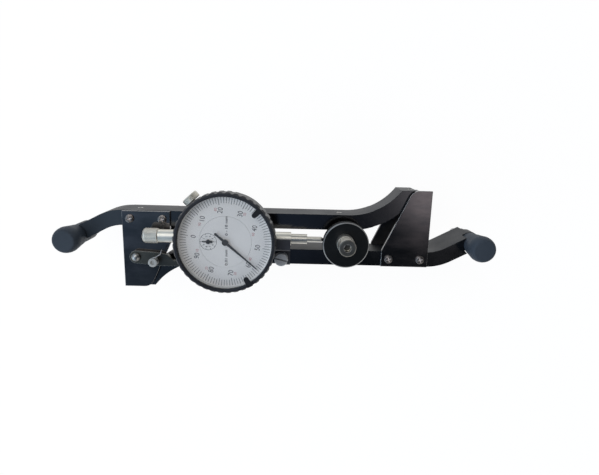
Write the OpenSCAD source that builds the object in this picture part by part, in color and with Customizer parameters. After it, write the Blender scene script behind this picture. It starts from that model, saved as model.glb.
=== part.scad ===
// Hand-held strain gauge: two bent bars joined by leaf springs, read by a dial.
// Millimetres. +X runs along the gauge length, +Z out of the dial, points down.
// Origin under the middle of the bars, level with the tips of the points.

/* [Frame] */
// distance between the two points
gauge_length = 250; // [240:1:280]
// height of each bar, seen from the dial side
bar_height = 9.5; // [8.5:0.5:11]
// clear gap between the two bars
bar_gap = 13; // [12:0.5:15]
// depth of each bar, front to back
bar_depth = 21; // [19:0.5:25]
// thickness of the cover plates
cover_thick = 2; // [1.5:0.25:3]
// how far the points reach below the bars
point_length = 25; // [20:1:35]
// how far the line of the points lies below the middle of the bars, seen from the dial side
point_drop = 1; // [0:0.25:1.5]
// inside radius of the bend at the far end of each bar
bend_radius = 40; // [34:1:46]

/* [Grips] */
// height of each grip above the bars' fronts
grip_length = 16.5; // [14:0.5:24]
// how far each grip's seat lies behind the bars' fronts
grip_sink = 9; // [7:0.5:10]
// largest diameter of each grip
grip_d = 16; // [14:0.2:17]

/* [Leaf springs] */
// thickness of the leaf springs
leaf_thick = 0.3; // [0.2:0.05:0.5]

/* [Dial indicator] */
// outside diameter of the bezel
bezel_d = 58.7; // [57:0.1:60]
// notches round the bezel
bezel_notches = 40; // [30:1:50]
// outside diameter of the stem
stem_d = 8; // [7:0.5:9]
// diameter of the contact
contact_d = 3.2; // [2.6:0.1:4]
// diameter of the dust cap
cap_d = 9.2; // [8.6:0.1:10]
// height of the plunger above the bars' fronts
axis_rise = 11.1; // [10.8:0.1:13]
// offset of the plunger from the middle of the bars
axis_y = 2.7; // [1.5:0.1:3.5]
// place of the dial's centre along the bars
dial_x = -28.7; // [-32:0.1:-27]
// reading that the pointer shows at rest, in degrees
pointer_angle = -40.5; // [-180:0.5:180]

/* [Stop] */
// diameter of the stop disc
stop_d = 27.8; // [24:0.1:30]
// thickness of the stop disc
stop_thick = 6.2; // [5:0.1:7]
// place of the stop disc along the bars
stop_x = 42; // [40:0.1:44]
// how far the stop disc's screw stands off its centre
stop_throw = 2.2; // [1:0.1:3]

/* [Fits] */
// radial clearance of turning and sliding fits
run_gap = 0.05; // [0.03:0.01:0.08]
// clearance between a bar and the other bar's covers
side_gap = 0.6; // [0.4:0.1:0.8]

/* [Hidden] */
$fn = 72;

// Levels, from the tips up
bar_back = point_length;
bar_front = bar_back + bar_depth;
bar_mid = bar_back + bar_depth / 2;
cover_front = bar_front + cover_thick;
axis_z = bar_front + axis_rise;

// The bars in plan
end_x = gauge_length / 2;
bar_low = bar_gap / 2;
bar_top = bar_low + bar_height;
flex_x = end_x - 38.5;
bend_x = end_x - 80.3;
far_top = bar_top + 16;
arm_x = end_x - 30;
arm_r = 33;
arm_mid = arm_r - bar_height / 2;
arm_y = bar_top - arm_r;
arm_aim = norm([arm_x - end_x, -0.9 - arm_y]);
arm_turn = atan2(-0.9 - arm_y, arm_x - end_x) - acos(arm_mid / arm_aim) - 90;
arm_run = sqrt(arm_aim * arm_aim - arm_mid * arm_mid);
neck_r = grip_d / 2 - 1.9;
neck_gap = 1;
boss_r = neck_r + 0.2;
grip_seat = bar_front - grip_sink;
set_r = 1.8;
set_near = -flex_x - 0.8;
set_far = flex_x - 2.6;
set_stop = stop_x - 2.5;
foot = bar_back - 7;
stud_r = 2.2;
point_stud_r = 1.75;
leaf_w = bar_depth - 8;
pocket_w = bar_depth - 6;
leaf_face = flex_x - leaf_thick / 2;
leaf_back = flex_x + leaf_thick / 2;
clamp_t = 3.5;
clamp_low = far_top - 11;
clamp_screw_r = 1.25;

// The dial
bezel_r = bezel_d / 2;
case_r = bezel_r - 2.85;
case_in = case_r - 1.7;
lip_r = bezel_r - 2.65;
seat_r = bezel_r - 2.2;
stem_r = stem_d / 2;
bore_r = stem_r - 1;
plunger_r = bore_r - run_gap;
back_z = axis_z - 8.5;
case_back = axis_z - 7.1;
wall_low = axis_z + 7.1;
wall_top = axis_z + 8.3;
case_front = axis_z + 9.4;
bezel_back = axis_z + 5.9;
scale_z = axis_z + 12.1;
scale_top = axis_z + 12.9;
crystal_low = axis_z + 15.3;
crystal_top = axis_z + 16.5;
bezel_front = axis_z + 18.3;
centre_r = 15;
clamp_x = dial_x + case_r + 2.2;
clamp_w = 8.7;
clamp_screw_x = clamp_x + 3.2;
clamp_screw_y = -bar_low - bar_height / 2;
stem_end = clamp_x + clamp_w + 0.3;
tube_end = dial_x - case_r - 15.1;
cap_end = tube_end - 9.7;

// The covers in plan, their inner ends clear of the lock pin beside the dial
cover_out = end_x - 30;
pin_room = 10.6;
cover_in = case_r - dial_x + pin_room;
relief_x = cover_in - 5.8;
cover_base = bar_top - 0.2;
cover_shoulder = 0.7 - bar_low;
cover_tip = far_top + 0.3;
rear_tip = cover_tip - 3;
cover_slope = 0.4567;
cover_round = 6.4;
cover_screw_r = 1.4;
cover_screw_out = end_x - 34.8;
cover_screw_in = cover_in + 4.6;
cover_screw_y = bar_low + 4.5;

// The works: rack and gears of one module
gear_m = 10 / 16 / PI;
rack_teeth = 16;
big_teeth = 90;
small_teeth = 9;
gear_far = gear_m * (big_teeth + small_teeth) / 2;
rack_line = gear_m * rack_teeth / 2;
rack_root = rack_line + 1.2 * gear_m;
rack_tip = rack_line - 0.9 * gear_m;
counter_x = dial_x - gear_far;
take_angle = -360 / small_teeth;
take_x = dial_x + gear_far * cos(take_angle);
take_y = axis_y + gear_far * sin(take_angle);
rack_left = counter_x - 11;
rack_right = dial_x + 6;
arbor_r = 0.6;
plate_low = axis_z - 5.7;
plate_top = axis_z - 4.7;
counter_low = axis_z + 4.1;
take_low = axis_z + 5.4;
works_r = case_in - 1;

// The stop and the plunger
stop_r = stop_d / 2;
nose_r = contact_d / 2;
touch_gap = 0.04;
nose_x = stop_x - sqrt(pow(stop_r + nose_r + touch_gap, 2) - axis_y * axis_y);
tip_x = nose_x + nose_r;
plunger_end = tip_x - 9.7;
plunger_back = tube_end + 6;
stop_low = axis_z - stop_thick / 2;
stop_top = axis_z + stop_thick / 2;
collar_top = stop_top + 7;
stop_screw_r = 3;
pivot_x = stop_x + stop_throw * cos(114);
pivot_y = stop_throw * sin(114);
lug_low = pivot_y - 5.2;

// The lock lever
lever_x = -(end_x - 38.6);
lever_y = -(bar_low + 6);
lever_low = cover_front + 0.6;
lever_top = lever_low + 2.5;
lever_r = 4;
lever_pin_r = 1.5;
lever_len = dial_x - case_r + 1.8 - lever_x;
stud_off = 0.35 * lever_len;
stud_x = lever_x + stud_off;
stud_y = lever_y - 2;
lock_x = lever_x + lever_len - 4.2;
lock_y = lever_y + 1.1;
lock_r = 1.5;

// Shared shapes

module ring(r_out, r_in, low, high) {
    translate([0, 0, low])
        linear_extrude(high - low)
            difference() {
                circle(r_out);
                circle(r_in);
            }
}

module at_dial() {
    translate([dial_x, axis_y, 0])
        children();
}

// along +X from x0 to x1, on the plunger's axis
module on_axis(x0, x1, r) {
    translate([x0, axis_y, axis_z])
        rotate([0, 90, 0])
            cylinder(r = r, h = x1 - x0);
}

// a screw's shank along X at a height
module cross_rod(x0, x1, y, z, r) {
    translate([x0, y, z])
        rotate([0, 90, 0])
            cylinder(r = r, h = x1 - x0);
}

module half_turn() {
    rotate([0, 0, 180])
        children();
}

// trapezoid teeth, slim enough to run free
function tooth(i, teeth, turn) =
    let (step = 360 / teeth, a = i * step + turn,
        root = gear_m * (teeth - 2.4) / 2, tip = gear_m * (teeth + 1.8) / 2,
        wide = step * 0.24, slim = step * 0.09)
    [[root * cos(a - wide), root * sin(a - wide)], [tip * cos(a - slim), tip * sin(a - slim)],
        [tip * cos(a + slim), tip * sin(a + slim)], [root * cos(a + wide), root * sin(a + wide)]];

module gear(teeth, turn, low, high) {
    translate([0, 0, low])
        linear_extrude(high - low)
            polygon([for (i = [0 : teeth - 1]) for (p = tooth(i, teeth, turn)) p]);
}

// Round wire along a path, as one unbroken tube of six sides
function unit(v) = v / norm(v);
function along(path, i) =
    unit(path[min(i + 1, len(path) - 1)] - path[max(i - 1, 0)]);
function wire_ring(path, i, r, up) =
    let (t = along(path, i), n = unit(cross(up, t)), b = cross(t, n))
    [for (k = [0 : 5]) path[i] + r * (cos(60 * k) * n + sin(60 * k) * b)];

module wire(path, r, up) {
    count = len(path);
    points = [for (i = [0 : count - 1]) for (p = wire_ring(path, i, r, up)) p];
    sides = [for (i = [0 : count - 2]) for (k = [0 : 5]) for (half = [0, 1])
        let (a = 6 * i + k, b = 6 * i + (k + 1) % 6)
        half == 0 ? [a, a + 6, b] : [b, a + 6, b + 6]];
    ends = [[0, 1, 2, 3, 4, 5], [for (k = [5 : -1 : 0]) 6 * (count - 1) + k]];
    polyhedron(points, concat(sides, ends));
}

// smallest clear distance between two curls of a wire
function wire_gap(path, r, apart) =
    min([for (i = [0 : len(path) - 1]) for (j = [i + apart : len(path) - 1])
        if (j < len(path)) norm(path[i] - path[j])]) - 2 * r;

// Bars

// the arm in plan: a bend, then straight on to the boss
module arm_plan() {
    translate([-arm_x, arm_y])
        polygon(concat([[0.2, arm_r]],
            [for (k = [0 : 12]) let (a = 90 + arm_turn * k / 12) arm_r * [cos(a), sin(a)]],
            [for (r = [arm_r, arm_r - bar_height]) r * [-sin(arm_turn), cos(arm_turn)]
                - arm_run * [cos(arm_turn), sin(arm_turn)]],
            [for (k = [12 : -1 : 0]) let (a = 90 + arm_turn * k / 12)
                (arm_r - bar_height) * [cos(a), sin(a)]],
            [[0.2, arm_r - bar_height]]));
}

// one bent bar in plan without its arm, bend and end block on the right
module bar_plan() {
    translate([-arm_x, bar_low])
        square([arm_x + bend_x, bar_height]);
    intersection() {
        translate([bend_x, bar_top + bend_radius])
            difference() {
                circle(bend_radius + bar_height, $fn = 144);
                circle(bend_radius, $fn = 144);
            }
        translate([bend_x - 0.1, bar_low])
            square([leaf_face - bend_x + 0.1, far_top - bar_low]);
    }
    translate([flex_x - 9, clamp_low])
        square([9 - leaf_thick / 2, far_top - clamp_low]);
}

// arm and boss, deeper at the back from the place from, cut down for the grip's neck;
// y is the point's place
module arm(y, from, run) {
    difference() {
        union() {
            translate([0, 0, foot])
                linear_extrude(bar_front - foot)
                    arm_plan();
            translate([-end_x, y, foot])
                cylinder(r = bar_height / 2 + 0.3, h = bar_front - foot);
            translate([-end_x, y, bar_back + 2])
                cylinder(r = boss_r, h = bar_depth - 2);
        }
        translate([0, 60, 0])
            rotate([90, 0, 0])
                linear_extrude(120)
                    polygon([[1 - arm_x, foot - 1], [1 - arm_x, bar_back], [-from, bar_back],
                        [-from - run, foot], [-from - run, foot - 1]]);
        translate([-end_x, y, grip_seat])
            cylinder(r = neck_r + neck_gap, h = grip_sink + 1);
    }
}

// the space at the far end that stays clear of the other bar's covers
module relief() {
    for (low = [bar_back - 1, bar_front - side_gap])
        translate([relief_x, bar_low - 1, low])
            cube([60, far_top, side_gap + 1]);
}

// pocket for the leaf's end, open downward, in the arm side of a bar
module leaf_pocket() {
    translate([-arm_x + 1.5, bar_low - 1, bar_mid - pocket_w / 2])
        cube([arm_x - 1.5 - leaf_face, bar_height - 1.5, pocket_w]);
}

module bar_holes(y) {
    translate([-end_x, y, foot - 1])
        cylinder(r = point_stud_r, h = 11);
    translate([-end_x, y, grip_seat - 6.4])
        cylinder(r = stud_r, h = 8);
    for (x = [-cover_screw_out, -cover_screw_in]) {
        translate([x, cover_screw_y, bar_front - 2.8])
            cylinder(r = cover_screw_r, h = 4);
        translate([x, cover_screw_y, bar_back - 1])
            cylinder(r = cover_screw_r, h = 3.8);
    }
    for (z = [bar_mid - 4, bar_mid + 4]) {
        cross_rod(-leaf_face - 0.1, -flex_x + 7.2, bar_low + 3.5, z, clamp_screw_r);
        cross_rod(flex_x - 7.2, leaf_face + 0.1, clamp_low + 5.5, z, clamp_screw_r);
    }
    for (s = [[set_near, bar_top], [set_far, far_top]])
        translate([s[0], s[1] - 2.4, bar_mid])
            rotate([-90, 0, 0])
                cylinder(r = set_r, h = 4);
}

module bar_solid(y, from, run) {
    difference() {
        union() {
            translate([0, 0, bar_back])
                linear_extrude(bar_depth)
                    bar_plan();
            arm(y, from, run);
        }
        relief();
        leaf_pocket();
        bar_holes(y);
    }
}

module upper_bar() {
    color([0.06, 0.07, 0.09])
        difference() {
            union() {
                bar_solid(-point_drop, end_x - 20, 13.5);
                translate([pivot_x - 7.5, lug_low, bar_back])
                    cube([15, bar_low + 1.5 - lug_low, bar_depth]);
            }
            translate([pivot_x, pivot_y, bar_front - 14])
                cylinder(r = stop_screw_r, h = 15);
            translate([set_stop, bar_top - 3.4, bar_mid])
                rotate([-90, 0, 0])
                    cylinder(r = set_r, h = 5);
        }
}

module lower_bar() {
    color([0.06, 0.07, 0.09])
        difference() {
            half_turn()
                bar_solid(point_drop, arm_x + 0.6, 5.4);
            translate([clamp_screw_x, clamp_screw_y, bar_front - 10])
                cylinder(r = 2, h = 11);
            translate([lock_x, lock_y, bar_front - 6])
                cylinder(r = lock_r, h = 7);
        }
}

// Grips and points

module grip_shape(x) {
    top = bar_front + grip_length;
    r = grip_d / 2;
    translate([x, -point_drop, 0])
        rotate_extrude()
            polygon(concat([[0, grip_seat - 6], [stud_r, grip_seat - 6], [stud_r, grip_seat],
                [neck_r, grip_seat], [neck_r + 0.1, grip_seat + 3], [r - 0.6, top - 11],
                [r, top - 6]],
                [for (a = [15 : 15 : 90]) [r - 2.2 + 2.2 * cos(a), top - 5.6 + 5.6 * sin(a)]],
                [[0, top]]));
}

module point_shape(x) {
    translate([x, -point_drop, 0])
        rotate_extrude()
            polygon([[0, 0], [0.15, 0], [2.5, 4.1], [2.5, foot - 3], [3.4, foot - 2.6],
                [3.4, foot], [point_stud_r, foot], [point_stud_r, foot + 9.6],
                [0, foot + 9.6]]);
}

module left_grip() {
    color([0.2, 0.23, 0.28])
        grip_shape(-end_x);
}

module right_grip() {
    color([0.2, 0.23, 0.28])
        grip_shape(end_x);
}

module left_point() {
    color([0.6, 0.61, 0.62])
        point_shape(-end_x);
}

module right_point() {
    color([0.6, 0.61, 0.62])
        point_shape(end_x);
}

// Covers, drawn for the right end; the slanted edge starts at a shoulder and stands out by wide

module cover_plan(wide, shoulder, tip) {
    round_y = tip - cover_round;
    lean = atan(cover_slope);
    round_x = cover_in - wide + cover_slope * (round_y - shoulder) + cover_round / cos(lean);
    polygon(concat([[cover_out, -cover_base], [cover_in - wide, -cover_base],
        [cover_in - wide, shoulder]],
        [for (k = [0 : 10]) let (a = 180 - lean - (90 - lean) * k / 10)
            [round_x + cover_round * cos(a), round_y + cover_round * sin(a)]],
        [[cover_out, tip]]));
}

module cover(wide, shoulder, tip, low) {
    translate([0, 0, low])
        linear_extrude(cover_thick)
            difference() {
                cover_plan(wide, shoulder, tip);
                for (x = [cover_screw_out, cover_screw_in])
                    translate([x, -cover_screw_y])
                        circle(1.6, $fn = 36);
            }
}

module right_front_cover() {
    color([0.1, 0.08, 0.09])
        cover(0, cover_shoulder, cover_tip, bar_front);
}

module right_rear_cover() {
    color([0.1, 0.08, 0.09])
        cover(2.8, cover_shoulder, rear_tip, bar_back - cover_thick);
}

module left_front_cover() {
    color([0.08, 0.08, 0.1])
        difference() {
            half_turn()
                cover(0, 4, cover_tip, bar_front);
            translate([lever_x, lever_y, bar_front - 1])
                cylinder(r = lever_pin_r, h = cover_thick + 2);
        }
}

module left_rear_cover() {
    color([0.08, 0.08, 0.1])
        half_turn()
            cover(0, cover_shoulder, rear_tip, bar_back - cover_thick);
}

// pan head on a shank, head up, seat at z = 0
module cover_screw(depth) {
    rotate_extrude($fn = 48)
        polygon([[0, -depth], [cover_screw_r, -depth], [cover_screw_r, 0], [2.55, 0], [2.55, 1],
            [2.3, 1.5], [1.7, 1.75], [0, 1.9]]);
}

module cover_screw_set() {
    depth = cover_thick + 2.6;
    for (x = [cover_screw_out, cover_screw_in]) {
        translate([x, -cover_screw_y, cover_front])
            difference() {
                cover_screw(depth);
                for (turn = [0, 90])
                    rotate([0, 0, turn + 20])
                        translate([-1.7, -0.4, 0.8])
                            cube([3.4, 0.8, 2]);
            }
        translate([x, -cover_screw_y, bar_back - cover_thick])
            rotate([180, 0, 0])
                difference() {
                    cover_screw(depth);
                    for (turn = [0, 90])
                        rotate([0, 0, turn + 20])
                            translate([-1.7, -0.4, 0.8])
                                cube([3.4, 0.8, 2]);
                }
    }
}

module right_cover_screws() {
    color([0.75, 0.75, 0.76])
        cover_screw_set();
}

module left_cover_screws() {
    color([0.75, 0.75, 0.76])
        half_turn()
            cover_screw_set();
}

// Leaf springs and their clamps, drawn for the right end

module leaf_shape() {
    low = -(bar_top - 3);
    difference() {
        translate([leaf_face, low, bar_mid - leaf_w / 2])
            cube([leaf_thick, far_top - 1 - low, leaf_w]);
        for (z = [bar_mid - 4, bar_mid + 4])
            for (y = [-(bar_low + 3.5), clamp_low + 5.5])
                cross_rod(leaf_face - 1, leaf_back + 1, y, z, 1.4);
    }
}

module right_leaf_spring() {
    color([0.55, 0.56, 0.58])
        leaf_shape();
}

module left_leaf_spring() {
    color([0.55, 0.56, 0.58])
        half_turn()
            leaf_shape();
}

// a clamp plate on the outer face of the leaf
module clamp_plate(low, high, screw_y) {
    difference() {
        translate([leaf_back, low, bar_mid - leaf_w / 2 - 0.5])
            cube([clamp_t, high - low, leaf_w + 1]);
        for (z = [bar_mid - 4, bar_mid + 4])
            cross_rod(leaf_back - 1, leaf_back + clamp_t + 1, screw_y, z, 1.4);
    }
}

module clamp_screw_pair(screw_y) {
    for (z = [bar_mid - 4, bar_mid + 4]) {
        cross_rod(flex_x - 7, leaf_back + clamp_t, screw_y, z, clamp_screw_r);
        difference() {
            cross_rod(leaf_back + clamp_t, leaf_back + clamp_t + 2.4, screw_y, z, 2.2);
            translate([leaf_back + clamp_t + 1.4, screw_y - 3, z - 0.35])
                cube([2, 6, 0.7]);
        }
    }
}

module upper_leaf_clamps() {
    color([0.3, 0.31, 0.33]) {
        clamp_plate(clamp_low + 0.5, far_top - 1, clamp_low + 5.5);
        half_turn()
            clamp_plate(-(bar_top - 3), -(bar_low + 0.5), -(bar_low + 3.5));
    }
}

module lower_leaf_clamps() {
    color([0.3, 0.31, 0.33]) {
        half_turn()
            clamp_plate(clamp_low + 0.5, far_top - 1, clamp_low + 5.5);
        clamp_plate(-(bar_top - 3), -(bar_low + 0.5), -(bar_low + 3.5));
    }
}

module upper_clamp_screws() {
    color([0.5, 0.5, 0.52]) {
        clamp_screw_pair(clamp_low + 5.5);
        half_turn()
            clamp_screw_pair(-(bar_low + 3.5));
    }
}

module lower_clamp_screws() {
    color([0.5, 0.5, 0.52]) {
        half_turn()
            clamp_screw_pair(clamp_low + 5.5);
        clamp_screw_pair(-(bar_low + 3.5));
    }
}

// a small socket screw sunk in a top face, drawn along -Y from y = 0
module set_screw(deep) {
    rotate([90, 0, 0])
        difference() {
            cylinder(r = set_r, h = deep, $fn = 36);
            translate([0, 0, -0.1])
                cylinder(r = 0.9, h = 1.1, $fn = 6);
        }
}

module leaf_set_screws() {
    translate([set_near, bar_top - 0.1, bar_mid])
        set_screw(2.2);
    translate([set_far, far_top - 0.1, bar_mid])
        set_screw(2.2);
}

module upper_set_screws() {
    color([0.7, 0.7, 0.72]) {
        leaf_set_screws();
        translate([set_stop, bar_top - 0.1, bar_mid])
            set_screw(3.2);
    }
}

module lower_set_screws() {
    color([0.7, 0.7, 0.72])
        half_turn()
            leaf_set_screws();
}

// Stop

module stop_spacer() {
    color([0.3, 0.31, 0.33])
        translate([pivot_x, pivot_y, 0])
            ring(8, stop_screw_r + 0.2, bar_front, stop_low);
}

// round, but held off its centre, so turning it sets the reading
module stop_disc() {
    color([0.08, 0.08, 0.09])
        difference() {
            translate([stop_x, 0, 0])
                rotate_extrude($fn = 120)
                    polygon([[0, stop_low], [stop_r - 0.6, stop_low], [stop_r, stop_low + 0.6],
                        [stop_r, stop_top - 0.6], [stop_r - 0.6, stop_top], [0, stop_top]]);
            translate([pivot_x, pivot_y, stop_low - 1])
                cylinder(r = stop_screw_r + 0.2, h = stop_thick + 2);
        }
}

module stop_collar() {
    color([0.7, 0.7, 0.7])
        translate([pivot_x, pivot_y, 0])
            ring(5.2, stop_screw_r + 0.2, stop_top, collar_top);
}

module stop_screw() {
    top = collar_top + 9;
    color([0.75, 0.75, 0.76])
        translate([pivot_x, pivot_y, 0])
            difference() {
                rotate_extrude()
                    polygon([[0, bar_front - 13.5], [stop_screw_r, bar_front - 13.5],
                        [stop_screw_r, collar_top], [4.95, collar_top], [4.95, top - 0.5],
                        [4.45, top], [0, top]]);
                translate([0, 0, top - 4])
                    cylinder(r = 2.4, h = 5, $fn = 6);
            }
}

// Stem clamp on the lower bar

module stem_clamp() {
    color([0.08, 0.09, 0.11])
        difference() {
            translate([clamp_x, 0, 0])
                rotate([90, 0, 90])
                    linear_extrude(clamp_w)
                        polygon([[-bar_top + 0.5, bar_front], [axis_y + 0.5, bar_front],
                            [axis_y + 0.5, axis_z + stem_r + 1.9], [axis_y - stem_r - 1.6,
                            axis_z + stem_r + 1.9], [axis_y - stem_r - 2.3, axis_z + stem_r + 1.2],
                            [axis_y - stem_r - 2.3, bar_front + 4], [-bar_top + 0.5,
                            bar_front + 4]]);
            on_axis(clamp_x - 1, clamp_x + clamp_w + 1, stem_r);
            translate([clamp_screw_x, clamp_screw_y, bar_front - 1])
                cylinder(r = 2.2, h = 6);
        }
}

module stem_clamp_screw() {
    seat = bar_front + 4;
    color([0.16, 0.16, 0.17])
        translate([clamp_screw_x, clamp_screw_y, 0])
            difference() {
                rotate_extrude()
                    polygon([[0, bar_front - 9.5], [2, bar_front - 9.5], [2, seat], [4.15, seat],
                        [4.15, seat + 4.4], [3.65, seat + 5], [0, seat + 5]]);
                rotate([0, 0, -16])
                    translate([-5, -0.5, seat + 3.4])
                        cube([10, 1, 3]);
            }
}

// Lock lever

module lever_plan() {
    neck = lever_len - 13.9;
    polygon(concat([for (a = [90 : 10 : 270]) lever_r * [cos(a), sin(a)]],
        [[0.37 * neck, -4.4], [0.76 * neck, -5.3], [lever_len - 8, -5.3], [lever_len, -4.6],
        [lever_len, -1.9], [neck + 3.5, -1.3], [neck, 2.1], [0.63 * neck, 3.2]]));
}

module lock_lever() {
    color([0.12, 0.13, 0.14])
        translate([lever_x, lever_y, lever_low])
            difference() {
                linear_extrude(lever_top - lever_low)
                    difference() {
                        lever_plan();
                        circle(lever_pin_r + run_gap, $fn = 36);
                    }
                translate([stud_x - lever_x, stud_y - lever_y, -1])
                    cylinder(r = 1.3, h = 5, $fn = 36);
            }
}

module lever_washer() {
    color([0.6, 0.6, 0.6])
        translate([lever_x, lever_y, 0])
            ring(3.4, lever_pin_r, cover_front, lever_low - 0.05);
}

module lever_pivot_screw() {
    seat = lever_top + 0.05;
    color([0.78, 0.78, 0.78])
        translate([lever_x, lever_y, 0])
            rotate_extrude($fn = 48)
                polygon(concat([[0, bar_front + 0.1], [lever_pin_r, bar_front + 0.1],
                    [lever_pin_r, seat]], [for (a = [0 : 15 : 75]) [2.7 * cos(a), seat + 0.4
                    + 2.1 * sin(a)]], [[0, seat + 2.5]]));
}

module lever_stud() {
    color([0.6, 0.6, 0.62])
        translate([stud_x, stud_y, 0])
            difference() {
                rotate_extrude($fn = 48)
                    polygon([[0, lever_low + 0.1], [1.3, lever_low + 0.1], [1.3, lever_top],
                        [1.55, lever_top], [1.55, lever_top + 4.3], [2.75, lever_top + 4.3],
                        [2.75, lever_top + 5.2], [2.4, lever_top + 5.5], [0, lever_top + 5.5]]);
                translate([0, 0, lever_top + 4.7])
                    cylinder(r = 1.3, h = 2, $fn = 36);
            }
}

// curls round the stud, its free leg to the cover's edge
lever_wire_r = 0.28;
lever_curls = 3;
lever_path = concat(
    [for (k = [0 : 8 * lever_curls]) let (a = 112 - 45 * k) [2.3 * cos(a), 2.3 * sin(a),
        lever_top + 0.75 + 1.0 * k / 8]],
    [[4.3, 4.9, lever_top + 3.6], [5.3, 8.2, lever_top + 3.1]]);

module lever_spring() {
    color([0.6, 0.6, 0.62])
        translate([stud_x, stud_y, 0])
            wire(lever_path, lever_wire_r, [0, 0, 1]);
}

module lock_pin() {
    color([0.1, 0.1, 0.11])
        translate([lock_x, lock_y, bar_front - 5.9])
            cylinder(r = lock_r, h = lever_top - bar_front + 5.9);
}

// Dial indicator

clamp_turn = 133;
clamp_axis_z = axis_z + 0.9;

module dial_case() {
    color([0.07, 0.07, 0.08])
        at_dial()
            difference() {
                union() {
                    translate([0, 0, case_back])
                        cylinder(r = case_r, h = case_front - case_back, $fn = 144);
                    rotate([0, 0, clamp_turn])
                        translate([case_r - 2, -3.5, clamp_axis_z - 3.5])
                            cube([4.6, 7, 7]);
                }
                translate([0, 0, case_back - 1])
                    cylinder(r = case_in, h = wall_low - case_back + 1, $fn = 144);
                translate([0, 0, wall_top])
                    cylinder(r = case_in - 0.6, h = 5, $fn = 144);
                translate([-gear_far, 0, wall_low - 1])
                    cylinder(r = arbor_r + run_gap, h = 4, $fn = 36);
                translate([0, 0, wall_low - 1])
                    cylinder(r = arbor_r + run_gap, h = 4, $fn = 36);
                translate([take_x - dial_x, take_y - axis_y, wall_low - 1])
                    cylinder(r = arbor_r + run_gap, h = 1.8, $fn = 36);
                translate([0, 0, axis_z])
                    rotate([0, 90, 0])
                        cylinder(r = stem_r, h = 80, center = true);
                rotate([0, 0, clamp_turn])
                    translate([case_r - 1, 0, clamp_axis_z])
                        rotate([0, 90, 0])
                            cylinder(r = 1.5 + run_gap, h = 8, $fn = 36);
            }
}

back_screw_ring = case_in - 2.2;

module back_cover() {
    color([0.07, 0.07, 0.08])
        at_dial()
            difference() {
                translate([0, 0, back_z])
                    cylinder(r = case_r, h = case_back - back_z, $fn = 144);
                for (a = [45 : 90 : 315])
                    rotate([0, 0, a])
                        translate([back_screw_ring, 0, back_z - 1])
                            cylinder(r = 1, h = 6, $fn = 36);
            }
}

module back_cover_screws() {
    color([0.65, 0.65, 0.66])
        at_dial()
            for (a = [45 : 90 : 315])
                rotate([0, 0, a])
                    translate([back_screw_ring, 0, 0])
                        difference() {
                            rotate_extrude($fn = 36)
                                polygon([[0, back_z - 0.9], [1.5, back_z - 0.9], [1.7, back_z - 0.6],
                                    [1.7, back_z], [1, back_z], [1, plate_low - 0.05],
                                    [0, plate_low - 0.05]]);
                            translate([-2, -0.25, back_z - 1.5])
                                cube([4, 0.5, 1]);
                        }
}

module works_plate() {
    color([0.7, 0.58, 0.3])
        at_dial()
            difference() {
                union() {
                    translate([0, 0, plate_low])
                        cylinder(r = works_r, h = plate_top - plate_low, $fn = 120);
                    for (a = [45 : 90 : 315])
                        rotate([0, 0, a])
                            translate([back_screw_ring, 0, plate_low])
                                cylinder(r = 1.2, h = wall_low - plate_low, $fn = 36);
                }
                for (p = [[-gear_far, 0], [0, 0], [take_x - dial_x, take_y - axis_y]])
                    translate([p[0], p[1], plate_low - 1])
                        cylinder(r = arbor_r + run_gap, h = 3, $fn = 36);
            }
}

module stem() {
    color([0.78, 0.78, 0.78])
        difference() {
            on_axis(dial_x + case_in - 2, stem_end, stem_r);
            on_axis(dial_x + case_in - 3, stem_end + 1, bore_r);
        }
}

module rear_tube() {
    color([0.78, 0.78, 0.78])
        difference() {
            on_axis(tube_end, dial_x - case_in + 2, stem_r);
            on_axis(tube_end - 1, dial_x - case_in + 3, bore_r);
        }
}

module dust_cap() {
    r = cap_d / 2;
    color([0.78, 0.78, 0.78])
        translate([tube_end, axis_y, axis_z])
            rotate([0, -90, 0])
                rotate_extrude()
                    polygon([[bore_r, 0], [r - 0.3, 0], [r, 0.3], [r, 7.6], [r - 0.5, 8.5],
                        [r - 1.8, 9.3], [r - 3, 9.7], [0, 9.7], [0, 8.4], [bore_r, 8.4]]);
}

module plunger() {
    color([0.72, 0.72, 0.72])
        union() {
            difference() {
                on_axis(plunger_back, plunger_end, plunger_r);
                translate([rack_left, axis_y - 6, axis_z - 5])
                    cube([rack_right - rack_left, 6 + rack_root, 10]);
                on_axis(plunger_end - 4, plunger_end + 1, 1.2);
            }
            half = sqrt(pow(plunger_r, 2) - pow(rack_root, 2)) - 0.02;
            pitch = PI * gear_m;
            count = floor((rack_right - rack_left - 3) / pitch / 2);
            translate([counter_x, axis_y, axis_z - half])
                linear_extrude(2 * half)
                    for (k = [-17 : 2 * count - 18])
                        translate([(k + 0.5) * pitch, 0])
                            polygon([[-0.24 * pitch, rack_root + 0.05], [-0.24 * pitch, rack_root],
                                [-0.09 * pitch, rack_tip], [0.09 * pitch, rack_tip],
                                [0.24 * pitch, rack_root], [0.24 * pitch, rack_root + 0.05]]);
        }
}

module contact_point() {
    color([0.75, 0.73, 0.68])
        translate([plunger_end, axis_y, axis_z])
            rotate([0, 90, 0])
                rotate_extrude($fn = 48)
                    polygon(concat([[0, -3.8], [1.2, -3.8], [1.2, 0], [nose_r, 0]],
                        [for (a = [0 : 10 : 90]) [nose_r * cos(a), nose_x - plunger_end
                        + nose_r * sin(a)]]));
}

return_wire_r = 0.25;
return_curls = 9;
return_r = bore_r - 0.9;
return_far = cap_end + 1.4 + return_wire_r + 0.05;
return_near = plunger_back - return_wire_r - 0.05;
return_path = [for (k = [0 : 8 * return_curls]) let (a = 45 * k)
    [return_far + (return_near - return_far) * k / (8 * return_curls),
        return_r * cos(a), return_r * sin(a)]];

module return_spring() {
    color([0.6, 0.6, 0.62])
        translate([0, axis_y, axis_z])
            wire(return_path, return_wire_r, [1, 0, 0]);
}

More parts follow.
